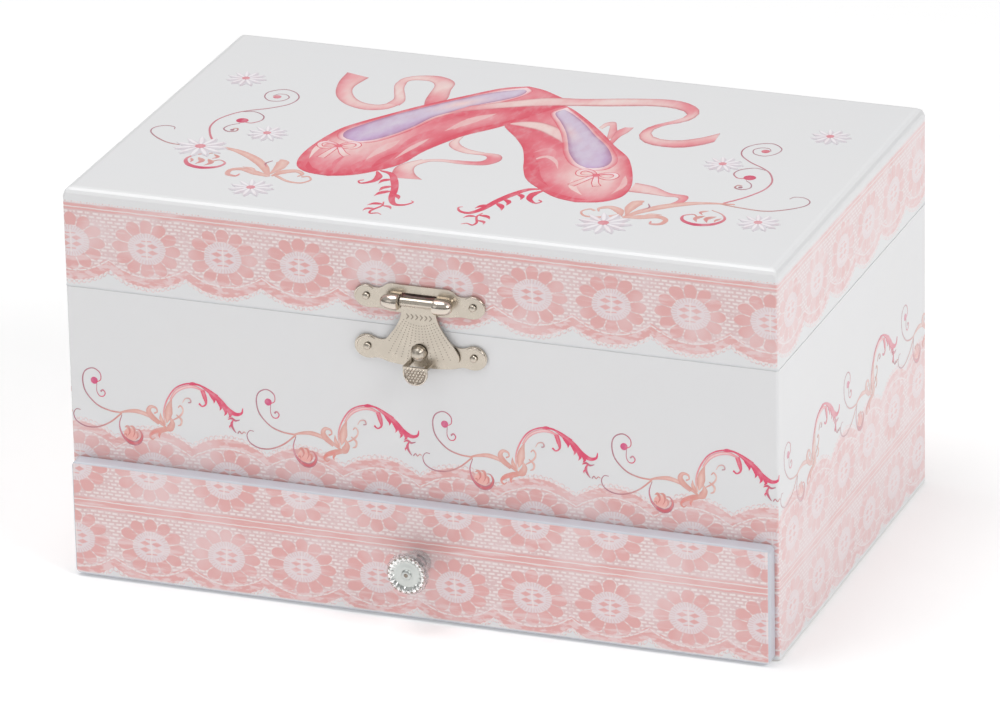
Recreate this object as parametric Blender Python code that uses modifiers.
"""Ballerina jewellery box: a printed-paper covered board box with a lid, a drawer and a musical dancer.

Frame: +X to the right, +Y to the back, +Z up, origin at the centre of the base on the resting plane.
Every size below is in millimetres; the helpers turn them into Blender's metres.
"""
import bmesh
import bpy
import math
from mathutils import Matrix, Vector

MM = 0.001

# ---------------------------------------------------------------- driving dimensions (mm)
WIDTH, DEPTH, HEIGHT = 225.0, 142.0, 124.0
SEAM_Z = 92.7
PAPER = 0.5                   # thickness of the printed paper skins
GAP = 0.3                     # air between pieces that touch
INSET = PAPER + GAP           # from the outside face to the boards
BOARD = 4.0
HALF_W, HALF_D = WIDTH / 2, DEPTH / 2
IN_FRONT, BEHIND_FRONT = -HALF_D - 24.0, -HALF_D + 11.0   # how far cutters reach through the front wall
BACK_THROUGH = (HALF_D - 11.0, HALF_D + 9.0)              # and through the back wall
BOARD_X, BOARD_Y = HALF_W - INSET, HALF_D - INSET
INNER_X, INNER_Y = BOARD_X - BOARD, BOARD_Y - BOARD
BODY_TOP = SEAM_Z - GAP
LID_BOTTOM = SEAM_Z + GAP
LID_EDGE_R = 2.7
CORNER_R = 0.8

BASE_TOP = 3.0
DRAWER_MOUTH_TOP = 36.6
DIVIDER_Z = (38.0, 41.0)
FLOOR_Z = DIVIDER_Z[1] + GAP
FELT = 0.6
TRAY_Z = FLOOR_Z + FELT + GAP
WALL_TOP = 66.0

PANEL_X, PANEL_Z = 111.1, (0.66, 37.4)
PANEL_FRONT, PANEL_BACK = -HALF_D - 5.15, -HALF_D - GAP
DRAWER_X, DRAWER_SIDE, DRAWER_Z, DRAWER_BACK = 106.6, 3.0, (3.6, 33.0), 60.0
KNOB_X, KNOB_Z, KNOB_R, KNOB_FACE = 0.9, 19.4, 6.75, -HALF_D - 16.2
KNOB_LOBES = 20

HINGE_X, HINGE_Y, HINGE_R, HINGE_PIN_R = 70.0, HALF_D + 1.9, 1.6, 0.7
LEAF_Y = (HALF_D + GAP, HALF_D + GAP + 0.8)

CLASP_X = 1.5
CLASP_AXIS_Y, CLASP_AXIS_Z = -HALF_D - 2.4, 101.4
PLATE_Y = (-HALF_D - 0.9, -HALF_D - GAP)
HASP_Y = (-HALF_D - 1.8, -HALF_D - 1.2)
STUD_Z, STUD_R, STUD_TIP = 85.6, 2.4, -HALF_D - 4.9
NAIL_SPREAD, LOWER_NAIL_Z, UPPER_NAIL_Z = 16.8, 85.3, 101.3
NAIL_R, NAIL_HEAD_R, NAIL_HOLE_R = 0.5, 1.15, 0.75

TRAIN_Z = 54.5                # height of the barrel and cylinder arbors
MODULE = 0.6
BARREL_TEETH, PINION_TEETH = 33, 12
BARREL_X = -MODULE * (BARREL_TEETH + PINION_TEETH) / 2
KEY_HOLE_R = 2.0
ARBOR_R, BORE_CLEAR = 1.2, 0.05
END_WHEEL_TEETH, END_WHEEL_Y = 14, (23.0, 25.0)
CYLINDER_R, CYLINDER_Y = 6.0, (26.0, 48.0)
PEGS, PEG_RING_R = 18, 9.0
DANCER_Y = END_WHEEL_Y[0] + 1.0 + PEG_RING_R
GOVERNOR_X, GOVERNOR_Y = 6.4, 50.25
STOP_X, STOP_Y = 9.4, 67.6
CHAMBER_X, CHAMBER_Y, PLATFORM_Z = 31.0, 13.0, (66.0, 69.0)

LID_CARD_Z = (116.6, 118.9)
MIRROR_X, MIRROR_Y, MIRROR_Z = 62.0, 42.0, (114.3, 116.3)
SHELF_TOP, ROLL_R, ROLL_PITCH, ROLLS = 58.0, 7.8, 17.6, 4

# ---------------------------------------------------------------- scene and collections
for leftover in list(bpy.data.objects):
    bpy.data.objects.remove(leftover, do_unlink=True)

PARTS = bpy.data.collections.new("ballerina_jewellery_box")
CUTTERS = bpy.data.collections.new("cutters")
for collection in (PARTS, CUTTERS):
    bpy.context.scene.collection.children.link(collection)


def material(name, colour, roughness, metallic=0.0):
    """A Principled material with one colour, roughness and metallic value."""
    made = bpy.data.materials.new(name)
    made.use_nodes = True
    shader = made.node_tree.nodes["Principled BSDF"]
    shader.inputs["Base Color"].default_value = (*colour, 1.0)
    shader.inputs["Roughness"].default_value = roughness
    shader.inputs["Metallic"].default_value = metallic
    return made


BOARD_MAT = material("fibreboard", (0.52, 0.38, 0.25), 0.8)
PAPER_MAT = material("printed_paper", (0.86, 0.74, 0.74), 0.4)
FELT_MAT = material("pink_felt", (0.85, 0.45, 0.55), 0.95)
SATIN_MAT = material("pink_satin", (0.90, 0.62, 0.68), 0.45)
NICKEL_MAT = material("nickel", (0.72, 0.68, 0.61), 0.3, 1.0)
BRASS_MAT = material("brass", (0.80, 0.62, 0.30), 0.3, 1.0)
STEEL_MAT = material("steel", (0.60, 0.60, 0.62), 0.3, 1.0)
ZINC_MAT = material("die_cast_zinc", (0.62, 0.62, 0.60), 0.5, 1.0)
CLEAR_MAT = material("clear_acrylic", (0.90, 0.92, 0.92), 0.08)
MIRROR_MAT = material("mirror_glass", (0.92, 0.93, 0.94), 0.03, 1.0)
SKIN_MAT = material("painted_figure", (0.90, 0.70, 0.62), 0.4)
TULLE_MAT = material("white_tulle", (0.95, 0.88, 0.90), 0.8)

# ---------------------------------------------------------------- bodies: one empty on each joint axis
AXIS_POINTS = {
    "lid": (0.0, HINGE_Y, SEAM_Z),
    "hasp": (CLASP_X, CLASP_AXIS_Y, CLASP_AXIS_Z),
    "drawer": (0.0, PANEL_BACK, PANEL_Z[0]),
    "key": (BARREL_X, HALF_D, TRAIN_Z),
    "barrel": (BARREL_X, 50.0, TRAIN_Z),
    "cylinder": (0.0, 37.0, TRAIN_Z),
    "dancer": (0.0, DANCER_Y, PLATFORM_Z[1]),
    "governor": (GOVERNOR_X, GOVERNOR_Y, TRAIN_Z),
    "stop_pin": (STOP_X, STOP_Y, 46.6),
}
BODIES = {}
for body_name, point in AXIS_POINTS.items():
    pivot = bpy.data.objects.new(body_name + "_axis", None)
    pivot.empty_display_size = 0.01
    pivot.location = Vector(point) * MM
    PARTS.objects.link(pivot)
    BODIES[body_name] = pivot
BODIES["hasp"].parent = BODIES["lid"]
BODIES["hasp"].location = (Vector(AXIS_POINTS["hasp"]) - Vector(AXIS_POINTS["lid"])) * MM


# ---------------------------------------------------------------- shape helpers
def shade(mesh, angle=40.0):
    """Shade round pieces smooth and keep true edges crisp."""
    mesh.shade_smooth()
    mesh.set_sharp_from_angle(angle=math.radians(angle))


def new_object(name, mesh, centre, rotation=None):
    """An object whose origin is at centre (mm), not yet in a collection."""
    made = bpy.data.objects.new(name, mesh)
    made.location = Vector(centre) * MM
    if rotation is not None:
        made.rotation_euler = rotation
    return made


def finish(made, finish_material, body=None):
    """Put a piece in the parts collection, give it its material and hang it on its body's empty."""
    PARTS.objects.link(made)
    made.data.materials.clear()
    made.data.materials.append(finish_material)
    if body is not None:
        made.parent = BODIES[body]
        made.location -= Vector(AXIS_POINTS[body]) * MM
    return made


def tool(made):
    """Put a cutter or a joining solid out of sight in the cutters collection."""
    CUTTERS.objects.link(made)
    made.hide_render = True
    made.display_type = "WIRE"
    return made


def bevel(made, width, segments=2, angle=30.0):
    """Round the edges of a piece."""
    rounding = made.modifiers.new("bevel", "BEVEL")
    rounding.width = width * MM
    rounding.segments = segments
    rounding.limit_method = "ANGLE"
    rounding.angle_limit = math.radians(angle)
    return made


def boolean(made, others, operation):
    """Cut or join each of the other solids into the piece."""
    for other in others:
        step = made.modifiers.new(operation.lower(), "BOOLEAN")
        step.operation = operation
        step.solver = "EXACT"
        step.object = tool(other)
    return made


def cut(made, *others):
    return boolean(made, others, "DIFFERENCE")


def join(made, *others):
    return boolean(made, others, "UNION")


def box(name, low, high):
    """A box between two corners."""
    low, high = Vector(low), Vector(high)
    mesh = bpy.data.meshes.new(name)
    shape = bmesh.new()
    bmesh.ops.create_cube(shape, size=1.0, matrix=Matrix.Diagonal((*((high - low) * MM), 1.0)))
    shape.to_mesh(mesh)
    shape.free()
    return new_object(name, mesh, (low + high) / 2)


TURN_TO = {"X": (0.0, math.radians(90), 0.0), "Y": (math.radians(-90), 0.0, 0.0), "Z": (0.0, 0.0, 0.0)}


def cone(name, axis, centre, start, end, radius_start, radius_end, segments=24):
    """A cylinder or cone along an axis, from start to end on it; centre gives the two other coordinates."""
    mesh = bpy.data.meshes.new(name)
    shape = bmesh.new()
    bmesh.ops.create_cone(shape, cap_ends=True, segments=segments, radius1=radius_start * MM,
                          radius2=radius_end * MM, depth=(end - start) * MM)
    shape.to_mesh(mesh)
    shape.free()
    shade(mesh)
    middle = (start + end) / 2
    first, second = centre
    place = {"X": (middle, first, second), "Y": (first, middle, second), "Z": (first, second, middle)}[axis]
    return new_object(name, mesh, place, TURN_TO[axis])


def rod(name, axis, centre, start, end, radius, segments=24):
    return cone(name, axis, centre, start, end, radius, radius, segments)


def curve_to_mesh(curve_object):
    """Turn a curve into a mesh with its caps welded, keeping its place."""
    PARTS.objects.link(curve_object)
    bpy.context.view_layer.update()
    evaluated = curve_object.evaluated_get(bpy.context.evaluated_depsgraph_get())
    mesh = bpy.data.meshes.new_from_object(evaluated)
    shape = bmesh.new()
    shape.from_mesh(mesh)
    bmesh.ops.remove_doubles(shape, verts=shape.verts, dist=0.00001)
    bmesh.ops.recalc_face_normals(shape, faces=shape.faces)
    shape.to_mesh(mesh)
    shape.free()
    shade(mesh, 30.0)
    name, place, data = curve_object.name, curve_object.matrix_world.copy(), curve_object.data
    bpy.data.objects.remove(curve_object, do_unlink=True)
    bpy.data.curves.remove(data)
    made = bpy.data.objects.new(name, mesh)
    made.matrix_world = place
    return made


def outline_curve(name, outlines, thickness, smooth=False):
    """A flat 2D curve of closed outlines (mm), filled and extruded to a thickness."""
    data = bpy.data.curves.new(name, "CURVE")
    data.dimensions = "2D"
    data.fill_mode = "BOTH"
    data.extrude = thickness / 2 * MM
    data.resolution_u = 3
    for points in outlines:
        spline = data.splines.new("BEZIER" if smooth else "POLY")
        if smooth:
            spline.bezier_points.add(len(points) - 1)
            for knot, (u, v) in zip(spline.bezier_points, points):
                knot.co = (u * MM, v * MM, 0.0)
                knot.handle_left_type = knot.handle_right_type = "AUTO"
        else:
            spline.points.add(len(points) - 1)
            for knot, (u, v) in zip(spline.points, points):
                knot.co = (u * MM, v * MM, 0.0, 1.0)
        spline.use_cyclic_u = True
    return bpy.data.objects.new(name, data)


def front_plate(name, outlines, centre_x, y_range, smooth=False):
    """A plate parallel to the front: outline points are (x from the centre line, z)."""
    plate = outline_curve(name, outlines, y_range[1] - y_range[0], smooth)
    plate.rotation_euler = (math.radians(90), 0.0, 0.0)
    plate.location = Vector((centre_x, sum(y_range) / 2, 0.0)) * MM
    return curve_to_mesh(plate)


def wire(name, points, radius, resolution=2):
    """A round wire along straight runs between points (mm)."""
    data = bpy.data.curves.new(name, "CURVE")
    data.dimensions = "3D"
    data.bevel_depth = radius * MM
    data.bevel_resolution = resolution
    data.use_fill_caps = True
    spline = data.splines.new("POLY")
    spline.points.add(len(points) - 1)
    for knot, point in zip(spline.points, points):
        knot.co = (*(Vector(point) * MM), 1.0)
    return curve_to_mesh(bpy.data.objects.new(name, data))


def turned(name, profile, centre, axis, segments=24, ring=False):
    """A turned solid from (radius, height) points down its outer side; a ring's profile closes on itself."""
    mesh = bpy.data.meshes.new(name)
    shape = bmesh.new()
    knots = [shape.verts.new((radius * MM, 0.0, height * MM)) for radius, height in profile]
    for first, second in zip(knots, knots[1:] + knots[:1] if ring else knots[1:]):
        shape.edges.new((first, second))
    shape.to_mesh(mesh)
    shape.free()
    made = new_object(name, mesh, centre, TURN_TO[axis])
    screw = made.modifiers.new("turn", "SCREW")
    screw.steps = screw.render_steps = segments
    screw.use_merge_vertices = True
    screw.merge_threshold = 0.00001
    screw.use_smooth_shade = True
    return made


def dome_profile(radius, tip, base, rise=None, steps=5):
    """A round-nosed stud's profile, from its tip on the axis to a flat base; rise is the nose's height."""
    rise = radius if rise is None else rise
    arc = [(0.0, tip)]
    for step in range(1, steps + 1):
        turn = math.pi / 2 * step / steps
        arc.append((radius * math.sin(turn), tip - rise + rise * math.cos(turn)))
    return arc + [(radius, base), (0.0, base)]


def gear_outline(teeth, root_r, tip_r, root_width, tip_width, phase=0.0):
    """A wheel's outline with one straight-sided tooth at each step round it."""
    points = []
    for tooth in range(teeth):
        middle = phase + 2 * math.pi * tooth / teeth
        root_half = root_width / 2 / root_r
        tip_half = tip_width / 2 / tip_r
        corners = ((root_r, -root_half), (tip_r, -tip_half), (tip_r, tip_half), (root_r, root_half))
        for radius, offset in corners:
            points.append((radius * math.cos(middle + offset), radius * math.sin(middle + offset)))
    return points


def wheel(name, outline, centre, y_range):
    """A toothed wheel on an axis along Y; centre is (x, z)."""
    shape = front_plate(name, [outline], 0.0, y_range)
    shape.location = Vector((centre[0], sum(y_range) / 2, centre[1])) * MM
    return shape


def open_shell(name, low, high, open_side, edge_widths):
    """A thin skin over a box with one or two sides left open: edge_widths are (outer edge, corner) radii."""
    low, high = Vector(low), Vector(high)
    mesh = bpy.data.meshes.new(name)
    shape = bmesh.new()
    bmesh.ops.create_cube(shape, size=1.0, matrix=Matrix.Diagonal((*((high - low) * MM), 1.0)))
    opened = [face for face in shape.faces if any(face.normal.dot(Vector(side)) > 0.9 for side in open_side)]
    bmesh.ops.delete(shape, geom=opened, context="FACES_ONLY")
    weights = shape.edges.layers.float.new("bevel_weight_edge")
    rim_r, corner_r = edge_widths
    facing = -Vector(open_side[0])
    for edge in shape.edges:
        if len(edge.link_faces) == 2:
            on_face = any(face.normal.dot(facing) > 0.9 for face in edge.link_faces)
            edge[weights] = 1.0 if on_face else corner_r / rim_r
    shape.to_mesh(mesh)
    shape.free()
    shade(mesh)
    made = new_object(name, mesh, (low + high) / 2)
    rounding = made.modifiers.new("bevel", "BEVEL")
    rounding.limit_method = "WEIGHT"
    rounding.width = rim_r * MM
    rounding.segments = 4
    skin = made.modifiers.new("skin", "SOLIDIFY")
    skin.thickness = PAPER * MM
    skin.offset = -1.0
    skin.use_even_offset = True
    return made


def nail_holes(z):
    """Cutters for the two clasp nails at one height, through plate, paper and board."""
    inside = -INNER_Y + 1.0
    return [rod("nail_hole", "Y", (CLASP_X + sign * NAIL_SPREAD, z), IN_FRONT, inside, NAIL_HOLE_R, 12)
            for sign in (-1, 1)]


# ---------------------------------------------------------------- case boards
def make_case():
    """Base, walls, divider and the printed paper round them."""
    for name, sign in (("left_side_board", -1), ("right_side_board", 1)):
        edges = sorted((sign * BOARD_X, sign * INNER_X))
        finish(box(name, (edges[0], -BOARD_Y, 0.0), (edges[1], BOARD_Y, BODY_TOP)), BOARD_MAT)
    span = INNER_X - GAP
    finish(box("base_board", (-span, -BOARD_Y, 0.0), (span, INNER_Y - GAP, BASE_TOP)), BOARD_MAT)
    back = box("back_board", (-span, INNER_Y, 0.0), (span, BOARD_Y, BODY_TOP))
    groove = 1.2
    cut(back, rod("key_hole", "Y", (BARREL_X, TRAIN_Z), *BACK_THROUGH, KEY_HOLE_R),
        box("stop_groove", (STOP_X - groove, BACK_THROUGH[0], FLOOR_Z + 3.7),
            (STOP_X + groove, STOP_Y + groove, HEIGHT)))
    finish(back, BOARD_MAT)
    front = box("front_upper_board", (-span, -BOARD_Y, DRAWER_MOUTH_TOP + GAP), (span, -INNER_Y, BODY_TOP))
    finish(cut(front, *nail_holes(LOWER_NAIL_Z)), BOARD_MAT)
    finish(box("divider_board", (-span, -INNER_Y + GAP, DIVIDER_Z[0]), (span, INNER_Y - GAP, DIVIDER_Z[1])),
           BOARD_MAT)
    paper = open_shell("body_paper", (-HALF_W, -HALF_D, GAP), (HALF_W, HALF_D, BODY_TOP),
                       ((0, 0, -1), (0, 0, 1)), (CORNER_R, CORNER_R))
    mouth = box("drawer_mouth", (-INNER_X, IN_FRONT, BASE_TOP + GAP),
                (INNER_X, BEHIND_FRONT, DRAWER_MOUTH_TOP))
    cut(paper, mouth, rod("key_hole_paper", "Y", (BARREL_X, TRAIN_Z), *BACK_THROUGH, KEY_HOLE_R),
        *nail_holes(LOWER_NAIL_Z))
    finish(paper, PAPER_MAT)


# ---------------------------------------------------------------- inside fittings
def make_inside():
    """Felt floor, platform over the movement, partitions, ring shelf and ring rolls."""
    span = INNER_X - 2 * GAP
    finish(box("floor_felt", (-span, -INNER_Y + GAP, FLOOR_Z), (span, INNER_Y - GAP, FLOOR_Z + FELT)),
           FELT_MAT)
    wall, partition_y, partition_x, shelf_wall = 3.0, 2.5, 2.5, 2.0
    outer_x, front = CHAMBER_X + wall, CHAMBER_Y - wall
    cover = box("movement_cover", (-outer_x, front, TRAY_Z), (outer_x, INNER_Y - GAP, PLATFORM_Z[1]))
    hollow = box("cover_hollow", (-CHAMBER_X, CHAMBER_Y, 0.0), (CHAMBER_X, HALF_D, PLATFORM_Z[0]))
    cut(cover, hollow, rod("spindle_hole", "Z", (0.0, DANCER_Y), PLATFORM_Z[0] - wall, PLATFORM_Z[1] + wall,
                           ARBOR_R + 0.1))
    finish(cover, SATIN_MAT)
    long_y = (front - GAP - partition_y, front - GAP)
    finish(box("long_partition", (-span, long_y[0], TRAY_Z), (span, long_y[1], WALL_TOP)), SATIN_MAT)
    short_x = (18.0, 18.0 + partition_x)
    finish(box("short_partition", (short_x[0], -INNER_Y + GAP, TRAY_Z),
               (short_x[1], long_y[0] - GAP, WALL_TOP)), SATIN_MAT)
    shelf_x = (-span, short_x[0] - GAP)
    shelf_y = (-INNER_Y + GAP, long_y[0] - GAP)
    shelf = box("ring_shelf", (shelf_x[0], shelf_y[0], TRAY_Z), (shelf_x[1], shelf_y[1], SHELF_TOP))
    cut(shelf, box("shelf_hollow", (shelf_x[0] + shelf_wall, shelf_y[0] + shelf_wall, 0.0),
                   (shelf_x[1] - shelf_wall, shelf_y[1] - shelf_wall, SHELF_TOP - shelf_wall)))
    finish(shelf, SATIN_MAT)
    middle_y = sum(shelf_y) / 2
    for index in range(ROLLS):
        y = middle_y + (index - (ROLLS - 1) / 2) * ROLL_PITCH
        roll = rod(f"ring_roll_{index + 1}", "X", (y, SHELF_TOP + GAP + ROLL_R),
                   shelf_x[0] + 0.5, shelf_x[1] - 0.5, ROLL_R, 16)
        finish(roll, FELT_MAT)


# ---------------------------------------------------------------- lid
def make_lid():
    """Top board, rails, printed skin, satin lining board and mirror."""
    rail_top = HEIGHT - INSET - BOARD - GAP
    top = box("lid_top_board", (-BOARD_X, -BOARD_Y, rail_top + GAP), (BOARD_X, BOARD_Y, HEIGHT - INSET))
    finish(bevel(top, 2.2), BOARD_MAT, "lid")
    rail_bottom = LID_BOTTOM + 0.2
    side_y = INNER_Y - GAP
    rails = {
        "lid_rail_front": ((-BOARD_X, -BOARD_Y), (BOARD_X, -INNER_Y)),
        "lid_rail_back": ((-BOARD_X, INNER_Y), (BOARD_X, BOARD_Y)),
        "lid_rail_left": ((-BOARD_X, -side_y), (-INNER_X, side_y)),
        "lid_rail_right": ((INNER_X, -side_y), (BOARD_X, side_y)),
    }
    for name, (low, high) in rails.items():
        rail = box(name, (*low, rail_bottom), (*high, rail_top))
        if name == "lid_rail_front":
            cut(rail, *nail_holes(UPPER_NAIL_Z))
        finish(rail, BOARD_MAT, "lid")
    paper = open_shell("lid_paper", (-HALF_W, -HALF_D, LID_BOTTOM), (HALF_W, HALF_D, HEIGHT),
                       ((0, 0, -1),), (LID_EDGE_R, CORNER_R))
    finish(cut(paper, *nail_holes(UPPER_NAIL_Z)), PAPER_MAT, "lid")
    card = box("lid_lining", (-INNER_X + GAP, -INNER_Y + 0.5, LID_CARD_Z[0]),
               (INNER_X - GAP, INNER_Y - 0.5, LID_CARD_Z[1] - GAP))
    finish(card, SATIN_MAT, "lid")
    mirror = box("lid_mirror", (-MIRROR_X, -MIRROR_Y, MIRROR_Z[0]), (MIRROR_X, MIRROR_Y, MIRROR_Z[1]))
    finish(bevel(mirror, 0.6, 1), MIRROR_MAT, "lid")


# ---------------------------------------------------------------- rear hinges
def make_hinges():
    """Two butt hinges on the back, each of two leaves and a pin."""
    leaf_half, knuckle_half, leaf_reach, tab_lap = 13.0, 4.6, 9.5, 0.5
    for side, x in (("left", -HINGE_X), ("right", HINGE_X)):
        outer = ((x - leaf_half, x - knuckle_half - GAP), (x + knuckle_half + GAP, x + leaf_half))
        inner = ((x - knuckle_half, x + knuckle_half),)
        reach = HINGE_R + 0.4
        leaves = (
            ("body", (SEAM_Z - leaf_reach, SEAM_Z - reach), (SEAM_Z - reach - tab_lap, SEAM_Z), outer, None),
            ("lid", (SEAM_Z + reach, SEAM_Z + leaf_reach), (SEAM_Z, SEAM_Z + reach + tab_lap), inner, "lid"),
        )
        for owner, leaf_z, tab_z, spans, body in leaves:
            leaf = box(f"{owner}_hinge_leaf_{side}", (x - leaf_half, LEAF_Y[0], leaf_z[0]),
                       (x + leaf_half, LEAF_Y[1], leaf_z[1]))
            for low, high in spans:
                join(leaf, box("tab", (low, LEAF_Y[0], tab_z[0]), (high, LEAF_Y[1], tab_z[1])),
                     rod("knuckle", "X", (HINGE_Y, SEAM_Z), low, high, HINGE_R, 16))
            cut(leaf, rod("pin_bore", "X", (HINGE_Y, SEAM_Z), x - leaf_half - 1.0, x + leaf_half + 1.0,
                          HINGE_PIN_R + BORE_CLEAR, 16))
            finish(leaf, NICKEL_MAT, body)
        finish(rod(f"hinge_pin_{side}", "X", (HINGE_Y, SEAM_Z), x - leaf_half - 0.4, x + leaf_half + 0.4,
                   HINGE_PIN_R, 16), NICKEL_MAT)


# ---------------------------------------------------------------- clasp
def mirrored(half):
    """A closed outline from its right half, listed from the top centre down to the bottom centre."""
    return half + [(-x, z) for x, z in reversed(half) if x != 0.0]


def make_clasp():
    """Upper plate with its pressed ears and pin, swinging hasp, lower plate with its stud, and the nails."""
    ear_in, ear_tip, ear_r = 5.5, 10.8, 2.2
    pin_r, pin_reach = 0.6, 8.1
    clasp_axis = (CLASP_AXIS_Y, CLASP_AXIS_Z)
    upper_outline = mirrored([(0.0, 106.0), (6.0, 106.0), (9.8, 105.9), (12.2, 104.4), (14.2, 104.2),
                              (16.8, 104.9), (19.4, 103.9), (20.7, 101.4), (19.6, 98.9), (17.0, 97.7),
                              (13.0, 97.9), (9.0, 97.3), (0.0, 97.2)])
    upper = front_plate("clasp_upper_plate", [upper_outline], CLASP_X, PLATE_Y, True)
    for sign in (-1, 1):
        ear = turned("ear", dome_profile(ear_r, ear_tip, ear_in), (CLASP_X, *clasp_axis), "X", 16)
        ear.rotation_euler.y = sign * math.radians(90)
        join(upper, ear)
    cut(upper,
        box("knuckle_window", (CLASP_X - ear_in, IN_FRONT, CLASP_AXIS_Z - 2.6),
            (CLASP_X + ear_in, BEHIND_FRONT, CLASP_AXIS_Z + 2.2)),
        rod("pin_bore", "X", clasp_axis, CLASP_X - pin_reach - GAP, CLASP_X + pin_reach + GAP,
            pin_r + BORE_CLEAR, 12),
        *nail_holes(UPPER_NAIL_Z))
    finish(upper, NICKEL_MAT, "lid")
    finish(rod("clasp_pin", "X", clasp_axis, CLASP_X - pin_reach, CLASP_X + pin_reach, pin_r, 12),
           STEEL_MAT, "lid")

    lower_outline = mirrored([(0.0, 90.0), (8.0, 89.6), (11.6, 88.0), (13.6, 88.0), (16.8, 89.0),
                              (19.6, 88.0), (20.9, 85.4), (19.8, 82.7), (17.0, 81.5), (13.4, 81.9),
                              (10.0, 81.0), (0.0, 80.4)])
    lower = front_plate("clasp_lower_plate", [lower_outline], CLASP_X, PLATE_Y, True)
    stud = turned("stud", dome_profile(STUD_R, -STUD_TIP, -PLATE_Y[1] + 0.1), (CLASP_X, 0.0, STUD_Z), "Y", 20)
    stud.rotation_euler.x = math.radians(90)
    join(lower, stud)
    finish(cut(lower, *nail_holes(LOWER_NAIL_Z)), NICKEL_MAT)

    hasp_outline = mirrored([(0.0, CLASP_AXIS_Z), (4.9, CLASP_AXIS_Z), (5.2, 101.1), (5.2, 99.2), (5.5, 97.2),
                             (6.7, 94.0), (9.0, 90.5), (11.3, 87.6), (12.4, 85.4), (12.1, 83.5), (10.2, 82.4),
                             (6.5, 81.7), (0.0, 81.3)])
    hasp = front_plate("hasp", [hasp_outline], CLASP_X, HASP_Y, True)
    slot_half, knuckle_half, knuckle_r = STUD_R + 0.3, 5.2, 1.45
    tab_half, tab_y, tab_z, tab_t = 3.9, STUD_TIP - 0.4, 80.4, 0.6
    leg_y, leg_z = tab_y - tab_t, (81.4, 82.2)
    slot_y, under_tab = HASP_Y[0] - 0.4, tab_z - 10.0
    join(hasp, rod("knuckle", "X", clasp_axis, CLASP_X - knuckle_half, CLASP_X + knuckle_half, knuckle_r, 16))
    for sign in (-1, 1):
        edges = sorted((CLASP_X + sign * slot_half, CLASP_X + sign * tab_half))
        join(hasp, box("leg", (edges[0], leg_y, leg_z[0]), (edges[1], HASP_Y[1], leg_z[1])))
    join(hasp, rod("thumb_tab", "Y", (CLASP_X, tab_z), leg_y, tab_y, tab_half, 20))
    cut(hasp,
        rod("stud_hole", "Y", (CLASP_X, STUD_Z), slot_y, BEHIND_FRONT, slot_half, 20),
        box("stud_slot", (CLASP_X - slot_half, slot_y, under_tab),
            (CLASP_X + slot_half, BEHIND_FRONT, STUD_Z)),
        box("stud_way", (CLASP_X - slot_half, tab_y, under_tab),
            (CLASP_X + slot_half, HASP_Y[0], tab_z + 3.6)),
        box("tab_trim", (CLASP_X - knuckle_half, leg_y - 1.0, leg_z[1]),
            (CLASP_X + knuckle_half, HASP_Y[0] - 0.1, STUD_Z + 4.0)),
        rod("pin_bore", "X", clasp_axis, CLASP_X - pin_reach, CLASP_X + pin_reach, pin_r + BORE_CLEAR, 12))
    finish(hasp, NICKEL_MAT, "hasp")

    head_base, nail_point = -PLATE_Y[0] + GAP, INNER_Y + 0.5
    for level, z, body in (("upper", UPPER_NAIL_Z, "lid"), ("lower", LOWER_NAIL_Z, None)):
        for side, sign in (("left", -1), ("right", 1)):
            x = CLASP_X + sign * NAIL_SPREAD
            head = dome_profile(NAIL_HEAD_R, head_base + 0.9, head_base, 0.8)[:-1]
            shank = [(NAIL_R, head_base), (NAIL_R, nail_point), (0.0, nail_point)]
            nail = turned(f"{level}_nail_{side}", head + shank, (x, 0.0, z), "Y", 16)
            nail.rotation_euler.x = math.radians(90)
            finish(nail, NICKEL_MAT, body)


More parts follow.
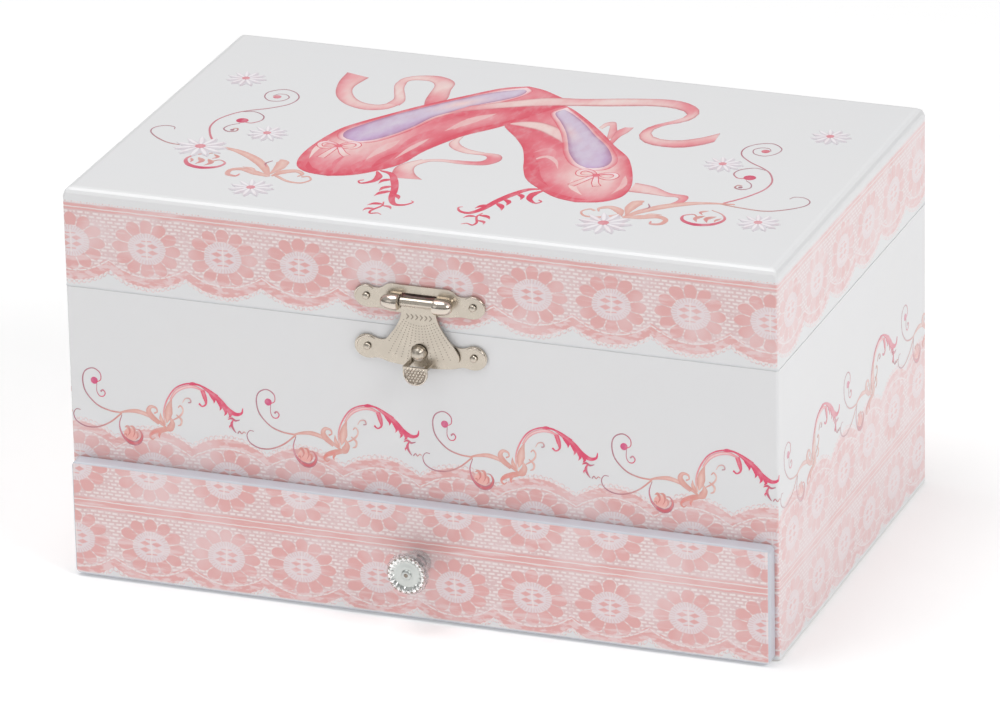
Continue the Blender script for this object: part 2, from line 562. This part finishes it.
# ---------------------------------------------------------------- drawer
def make_drawer():
    """Overlaid front with its printed skin, four thin boards, felt and the clear knob."""
    stud_r, hole_r = 1.6, 1.8
    front = box("drawer_front_board", (-PANEL_X + INSET, PANEL_FRONT + INSET, PANEL_Z[0] + INSET),
                (PANEL_X - INSET, PANEL_BACK, PANEL_Z[1] - INSET))
    cut(bevel(front, 1.2), rod("knob_hole", "Y", (KNOB_X, KNOB_Z), IN_FRONT, BEHIND_FRONT, hole_r, 16))
    finish(front, BOARD_MAT, "drawer")
    paper = open_shell("drawer_front_paper", (-PANEL_X, PANEL_FRONT, PANEL_Z[0]),
                       (PANEL_X, PANEL_BACK, PANEL_Z[1]), ((0, 1, 0),), (1.0, 1.6))
    cut(paper, rod("knob_hole_paper", "Y", (KNOB_X, KNOB_Z), IN_FRONT, BEHIND_FRONT, hole_r, 16))
    finish(paper, PAPER_MAT, "drawer")
    inner_x = DRAWER_X - DRAWER_SIDE
    front_y = PANEL_BACK + GAP
    sides = {"drawer_side_left": (-DRAWER_X, -inner_x), "drawer_side_right": (inner_x, DRAWER_X)}
    for name, (low, high) in sides.items():
        finish(box(name, (low, front_y, DRAWER_Z[0]), (high, DRAWER_BACK, DRAWER_Z[1])), BOARD_MAT, "drawer")
    back_y = DRAWER_BACK - DRAWER_SIDE
    span = inner_x - GAP
    finish(box("drawer_back", (-span, back_y, DRAWER_Z[0]), (span, DRAWER_BACK, DRAWER_Z[1])),
           BOARD_MAT, "drawer")
    bottom_top = DRAWER_Z[0] + 2.0
    finish(box("drawer_bottom", (-span, front_y, DRAWER_Z[0]), (span, back_y - GAP, bottom_top)),
           BOARD_MAT, "drawer")
    felt_z = bottom_top + GAP
    finish(box("drawer_felt", (-span, front_y, felt_z), (span, back_y - GAP, felt_z + FELT)),
           FELT_MAT, "drawer")

    lobe_depth, rim_steps = 0.45, KNOB_LOBES * 4
    rim = []
    for step in range(rim_steps):
        angle = 2 * math.pi * step / rim_steps
        radius = KNOB_R - lobe_depth + lobe_depth * math.cos(KNOB_LOBES * angle)
        rim.append((radius * math.cos(angle), KNOB_Z + radius * math.sin(angle)))
    rim_back, waist_y, waist_r = KNOB_FACE + 2.6, KNOB_FACE + 6.2, 4.2
    head = front_plate("drawer_knob", [rim], KNOB_X, (KNOB_FACE, rim_back))
    base_y = PANEL_FRONT - GAP
    join(head,
         cone("knob_neck", "Y", (KNOB_X, KNOB_Z), rim_back - 0.6, waist_y + 0.3, 5.9, waist_r),
         cone("knob_foot", "Y", (KNOB_X, KNOB_Z), waist_y - 0.2, base_y, waist_r, 5.0),
         rod("knob_stud", "Y", (KNOB_X, KNOB_Z), base_y - 1.0, PANEL_BACK - 0.5, stud_r, 16))
    finish(head, CLEAR_MAT, "drawer")


# ---------------------------------------------------------------- music movement
def make_movement():
    """Bedplate with posts, comb and screws, barrel, arbor, cylinder, governor, stop pin and winding key."""
    bed_top, post_top, cock_z = TRAY_Z + 1.6, TRAIN_Z + 3.0, (64.2, 65.6)
    foot_z = bed_top - 1.1
    cylinder_r, governor_r = 1.0, 0.8
    bed = box("movement_bedplate", (-27.0, 17.0, TRAY_Z), (29.0, 64.0, bed_top))
    posts = {
        "cylinder_post_front": ((-2.3, 20.2), (2.3, 22.4)),
        "cylinder_post_back": ((-2.3, 53.0), (2.3, 55.0)),
        "barrel_post_front": ((BARREL_X - 2.5, 46.2), (BARREL_X + 2.5, 48.0)),
        "barrel_post_back": ((BARREL_X - 2.5, 61.8), (BARREL_X + 2.5, 63.6)),
    }
    join(bed,
         *(box(name, (*low, foot_z), (*high, post_top)) for name, (low, high) in posts.items()),
         box("comb_block", (16.5, 25.5, foot_z), (26.5, 48.5, TRAIN_Z - 1.0)),
         box("governor_post", (12.2, 48.5, foot_z), (14.2, 52.0, cock_z[1])),
         box("governor_cock", (4.6, 48.5, cock_z[0]), (14.0, 52.0, cock_z[1])))
    screw_x, screw_r, screw_foot = 22.5, 1.1, 50.0
    screw_hole_z, screw_hole_r = (screw_foot - 1.0, 60.0), screw_r + 0.2
    comb_screws = {"comb_screw_front": 29.0, "comb_screw_rear": 45.0}
    through_y, through_z = (19.0, 66.0), (41.0, 67.0)
    cut(bed,
        rod("cylinder_bore", "Y", (0.0, TRAIN_Z), *through_y, cylinder_r + BORE_CLEAR, 16),
        rod("barrel_bore", "Y", (BARREL_X, TRAIN_Z), *through_y, ARBOR_R + BORE_CLEAR, 16),
        rod("governor_bore", "Z", (GOVERNOR_X, GOVERNOR_Y), *through_z, governor_r + BORE_CLEAR, 16),
        *(rod("screw_hole", "Z", (screw_x, y), *screw_hole_z, screw_hole_r, 12)
          for y in comb_screws.values()))
    finish(bed, ZINC_MAT)

    teeth, pitch, tip_x, root_x, heel_x = 18, 1.2, 7.0, 17.0, 26.5
    start_y = sum(CYLINDER_Y) / 2 - teeth * pitch / 2
    tooth_edges = []
    tooth = ((root_x, 0.0), (tip_x, 0.25), (tip_x, 0.75), (root_x, 0.9))
    for index in range(teeth):
        tooth_edges += [(x, start_y + index * pitch + y) for x, y in tooth]
    comb_outline = tooth_edges + [(heel_x, start_y + teeth * pitch), (heel_x, start_y)]
    comb_shape = outline_curve("comb", [comb_outline], 1.0)
    comb_shape.location = Vector((0.0, 0.0, TRAIN_Z)) * MM
    comb = curve_to_mesh(comb_shape)
    cut(comb, *(rod("screw_hole", "Z", (screw_x, y), *screw_hole_z, screw_hole_r, 12)
                for y in comb_screws.values()))
    finish(comb, STEEL_MAT)
    head_z, head_r = (TRAIN_Z + 0.8, TRAIN_Z + 2.2), 2.3
    for name, y in comb_screws.items():
        screw = rod(name, "Z", (screw_x, y), screw_foot, head_z[0] + 0.4, screw_r, 12)
        join(screw, rod("head", "Z", (screw_x, y), *head_z, head_r, 16))
        cut(screw, box("driver_slot", (screw_x - 3.0, y - 0.3, head_z[1] - 0.7),
                       (screw_x + 3.0, y + 0.3, head_z[1] + 0.8)))
        finish(screw, STEEL_MAT)

    pitch_circle, root_depth, tip_rise, great_wheel_y = MODULE * BARREL_TEETH / 2, 0.7, 0.5, (49.0, 51.5)
    barrel = wheel("spring_barrel",
                   gear_outline(BARREL_TEETH, pitch_circle - root_depth, pitch_circle + tip_rise, 0.95, 0.4),
                   (BARREL_X, TRAIN_Z), great_wheel_y)
    join(barrel, rod("drum", "Y", (BARREL_X, TRAIN_Z), 51.0, 61.0, pitch_circle - 1.0, 32))
    cut(barrel, rod("arbor_bore", "Y", (BARREL_X, TRAIN_Z), 40.0, 70.0, ARBOR_R + BORE_CLEAR, 16))
    finish(barrel, BRASS_MAT, "barrel")
    finish(rod("winding_arbor", "Y", (BARREL_X, TRAIN_Z), 45.6, 79.5, ARBOR_R, 16), STEEL_MAT, "key")

    pinion_r = MODULE * PINION_TEETH / 2
    half_pitch = math.pi / PINION_TEETH
    cylinder = rod("music_cylinder", "Y", (0.0, TRAIN_Z), CYLINDER_Y[0], CYLINDER_Y[1], CYLINDER_R, 32)
    join(cylinder,
         wheel("pinion",
               gear_outline(PINION_TEETH, pinion_r - root_depth, pinion_r + tip_rise, 0.8, 0.4, half_pitch),
               (0.0, TRAIN_Z), great_wheel_y),
         wheel("end_wheel", gear_outline(END_WHEEL_TEETH, 5.5, 7.9, 1.0, 1.0, math.pi / 2),
               (0.0, TRAIN_Z), END_WHEEL_Y),
         rod("arbor", "Y", (0.0, TRAIN_Z), 19.6, 55.6, cylinder_r, 16))
    finish(cylinder, BRASS_MAT, "cylinder")

    governor = rod("governor", "Z", (GOVERNOR_X, GOVERNOR_Y), 43.0, 65.2, governor_r, 16)
    fan = box("fan", (GOVERNOR_X - 4.0, GOVERNOR_Y - 0.3, 61.4), (GOVERNOR_X + 4.0, GOVERNOR_Y + 0.3, 63.6))
    join(governor,
         rod("worm", "Z", (GOVERNOR_X, GOVERNOR_Y), 50.0, 59.0, 1.6, 16),
         rod("brake_disc", "Z", (GOVERNOR_X, GOVERNOR_Y), 44.4, 45.4, 4.4, 20), fan)
    finish(governor, BRASS_MAT, "governor")

    arm_z, foot_y = 46.6, 49.0
    stop = wire("stop_pin", ((STOP_X, foot_y, arm_z), (STOP_X, STOP_Y, arm_z),
                             (STOP_X, STOP_Y, LID_BOTTOM - 0.1)), 0.7)
    finish(stop, STEEL_MAT, "stop_pin")

    key_y, hub_r = (HALF_D + 2.5, HALF_D + 14.5), 2.6
    key = rod("winding_key", "Y", (BARREL_X, TRAIN_Z), *key_y, hub_r, 20)
    wing_y, wing_offset, wing_r, eye_r, blade_half = HALF_D + 9.0, 6.2, 5.0, 2.4, 0.7
    wing_profile = [(wing_r, blade_half), (wing_r, -blade_half), (eye_r, -blade_half), (eye_r, blade_half)]
    for sign in (-1, 1):
        wing_centre = (BARREL_X + sign * wing_offset, wing_y, TRAIN_Z)
        join(key, turned("wing", wing_profile, wing_centre, "Z", 24, ring=True))
    cut(key, rod("arbor_bore", "Y", (BARREL_X, TRAIN_Z), *BACK_THROUGH, ARBOR_R + BORE_CLEAR, 16))
    finish(key, NICKEL_MAT, "key")


# ---------------------------------------------------------------- dancer
def make_dancer():
    """Spindle with peg wheel, coil spring, figure with raised arms and a stiff skirt."""
    wheel_z, disc_z = (62.8, 64.0), (PLATFORM_Z[1] + GAP, PLATFORM_Z[1] + 1.4)
    spindle = rod("dancer_spindle", "Z", (0.0, DANCER_Y), wheel_z[0], disc_z[1], ARBOR_R, 16)
    pegs = []
    for step in range(PEGS):
        angle = 2 * math.pi * (step + 0.5) / PEGS
        place = (PEG_RING_R * math.sin(angle), DANCER_Y - PEG_RING_R * math.cos(angle))
        pegs.append(rod("peg", "Z", place, 61.1, wheel_z[0] + 0.5, 0.45, 6))
    join(spindle, rod("wheel", "Z", (0.0, DANCER_Y), wheel_z[0], wheel_z[1], PEG_RING_R + 0.9, 32),
         rod("foot_disc", "Z", (0.0, DANCER_Y), disc_z[0], disc_z[1], 6.0, 24), *pegs)
    finish(spindle, BRASS_MAT, "dancer")

    turns, steps, coil_r, wire_r = 5, 10, 1.8, 0.35
    spring_low, spring_high = disc_z[1] + GAP + wire_r, 75.6
    coil = []
    for index in range(turns * steps + 1):
        part = index / (turns * steps)
        angle = 2 * math.pi * part * turns
        coil.append((coil_r * math.cos(angle), DANCER_Y + coil_r * math.sin(angle),
                     spring_low + (spring_high - spring_low) * part))
    finish(wire("dancer_spring", coil, wire_r), STEEL_MAT, "dancer")

    toe_z = spring_high + wire_r + GAP
    leg = [(0.75, 0.0, 0.4, 0.55), (0.8, 0.0, 3.2, 0.6), (0.95, -0.2, 7.2, 1.1), (1.0, 0.1, 9.4, 0.85),
           (1.1, 0.0, 13.0, 1.25)]
    torso = [(0.0, 0.0, 16.2, 2.2), (0.0, 0.0, 19.8, 1.5), (0.0, -0.2, 23.0, 1.9), (0.0, 0.0, 25.0, 0.8)]
    head = [(0.0, -0.1, 26.6, 1.2), (0.0, -0.1, 28.2, 1.9), (0.0, 0.1, 29.8, 1.4)]
    arm = [(1.9, 0.0, 24.0, 0.75), (4.3, -0.4, 26.2, 0.6), (4.9, -0.9, 29.8, 0.5), (3.4, -1.4, 32.8, 0.45),
           (1.0, -1.6, 34.6, 0.4)]
    mesh = bpy.data.meshes.new("dancer_figure")
    shape = bmesh.new()
    skin = shape.verts.layers.skin.verify()

    def knot(x, y, z, radius):
        made = shape.verts.new((x * MM, y * MM, z * MM))
        made[skin].radius = (radius * MM, radius * MM)
        return made

    def chain(points, start=None):
        previous = start
        for values in points:
            current = knot(*values)
            if previous is not None:
                shape.edges.new((previous, current))
            previous = current
        return previous

    hips = knot(*torso[0])
    hips[skin].use_root = True
    waist = knot(*torso[1])
    chest = knot(*torso[2])
    shape.edges.new((hips, waist))
    shape.edges.new((waist, chest))
    chain(torso[3:] + head, chest)
    for sign in (-1, 1):
        chain([(sign * x, y, z, radius) for x, y, z, radius in arm], chest)
        chain([(sign * x, y, z, radius) for x, y, z, radius in reversed(leg)], hips)
    shape.to_mesh(mesh)
    shape.free()
    figure = new_object("dancer_figure", mesh, (0.0, DANCER_Y, toe_z))
    figure.modifiers.new("flesh", "SKIN").branch_smoothing = 0.3
    smooth = figure.modifiers.new("smooth", "SUBSURF")
    smooth.levels = smooth.render_levels = 1
    finish(figure, SKIN_MAT, "dancer")

    skirt_z = toe_z + 17.2
    profile = [(2.7, 1.6), (6.5, 1.2), (10.6, 0.3), (10.6, -0.3), (6.5, 0.4), (2.7, 0.6)]
    skirt = turned("dancer_skirt", profile, (0.0, DANCER_Y, skirt_z), "Z", 28, ring=True)
    finish(skirt, TULLE_MAT, "dancer")


make_case()
make_inside()
make_lid()
make_hinges()
make_clasp()
make_drawer()
make_movement()
make_dancer()
